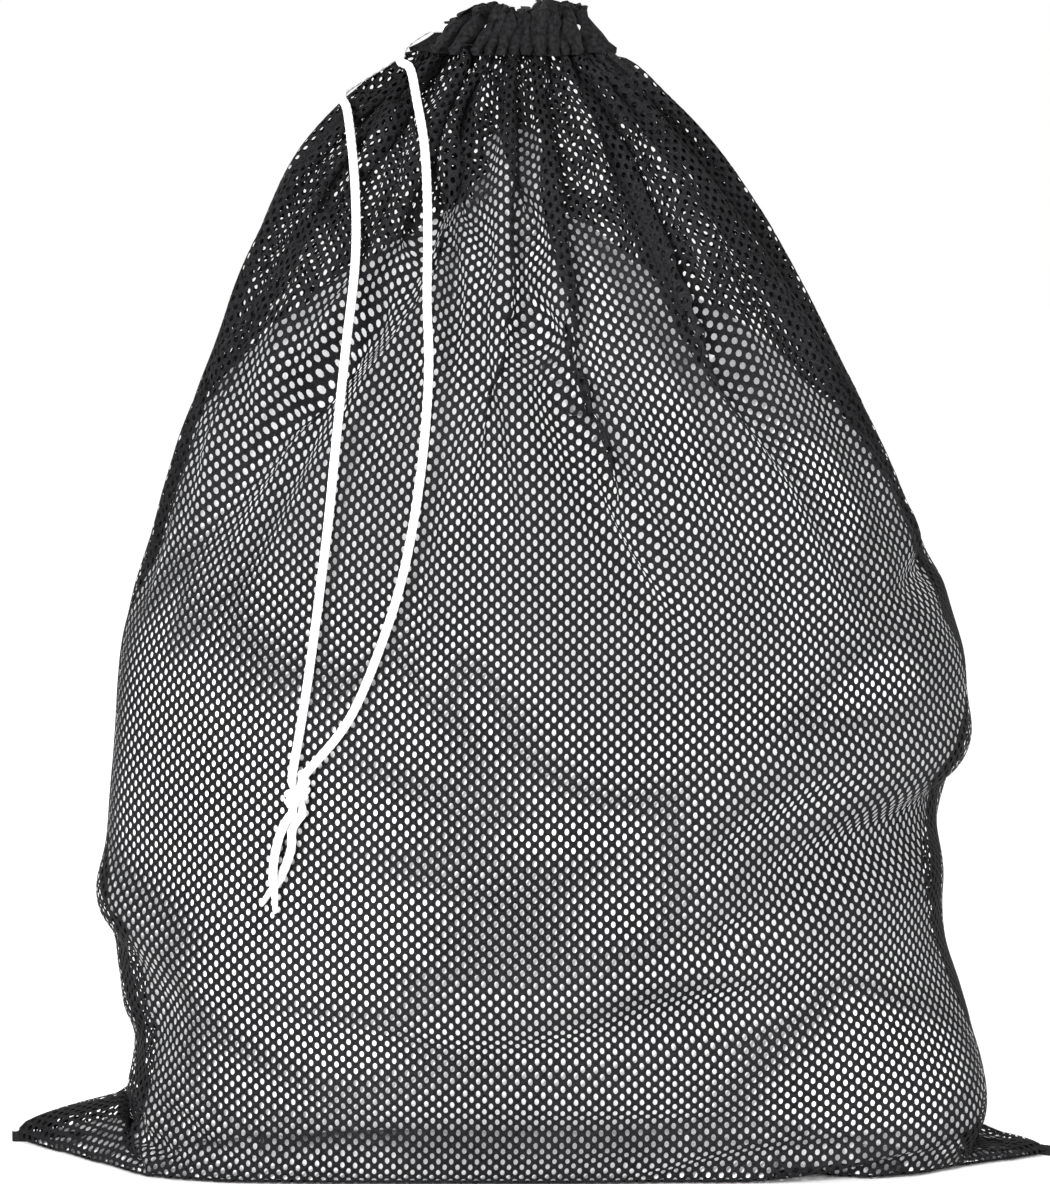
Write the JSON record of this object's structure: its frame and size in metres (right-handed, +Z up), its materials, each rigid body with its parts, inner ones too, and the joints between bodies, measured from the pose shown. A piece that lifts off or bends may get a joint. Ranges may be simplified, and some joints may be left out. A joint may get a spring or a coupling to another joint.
{
  "type": "drawstring mesh bag",
  "caption": "Standing drawstring bag of two sewn mesh panels with a gathered, cased hem and a knotted round cord that swings from its exit.",
  "frame": {"origin": "on the floor, under the middle of the bag between its two corner ears", "axes": "+Z up through the gathered mouth, -Y is the front that the cord hangs on, +X is the right when facing the front"},
  "size_m": [0.61, 0.2938, 0.666],
  "materials": {
    "mesh_cloth": "charcoal polyester mesh knit, soft sheen",
    "hem_cloth": "doubled mesh knit, gathered",
    "seam_thread": "black polyester thread",
    "cord_braid": "white braided polyester",
    "cord_tip": "melted braid ends"
  },
  "bodies": {
    "bag": {"front_panel": "mesh_cloth", "back_panel": "mesh_cloth", "left_side_seam": "seam_thread", "right_side_seam": "seam_thread", "bottom_seam": "seam_thread", "front_casing": "hem_cloth", "back_casing": "hem_cloth", "hem_stitches": "seam_thread", "exit_bartacks": "seam_thread", "casing_drawcord": "cord_braid"},
    "cord_loop": {"left_strand": "cord_braid", "right_strand": "cord_braid", "cord_knot": "cord_braid"},
    "cord_tails": {"left_tail": "cord_braid", "right_tail": "cord_braid", "tail_tips": "cord_tip"}
  },
  "joints": [
    {"name": "cord_swing", "type": "hinge", "parent": "bag", "child": "cord_loop", "pos_m": [-0.057, 0, 0.651], "axis": [-1, 0, 0], "range_deg": [0, 150]},
    {"name": "tail_swing", "type": "hinge", "parent": "cord_loop", "child": "cord_tails", "pos_m": [-0.129, -0.122, 0.228], "axis": [-1, 0, 0], "range_deg": [0, 80]}
  ]
}
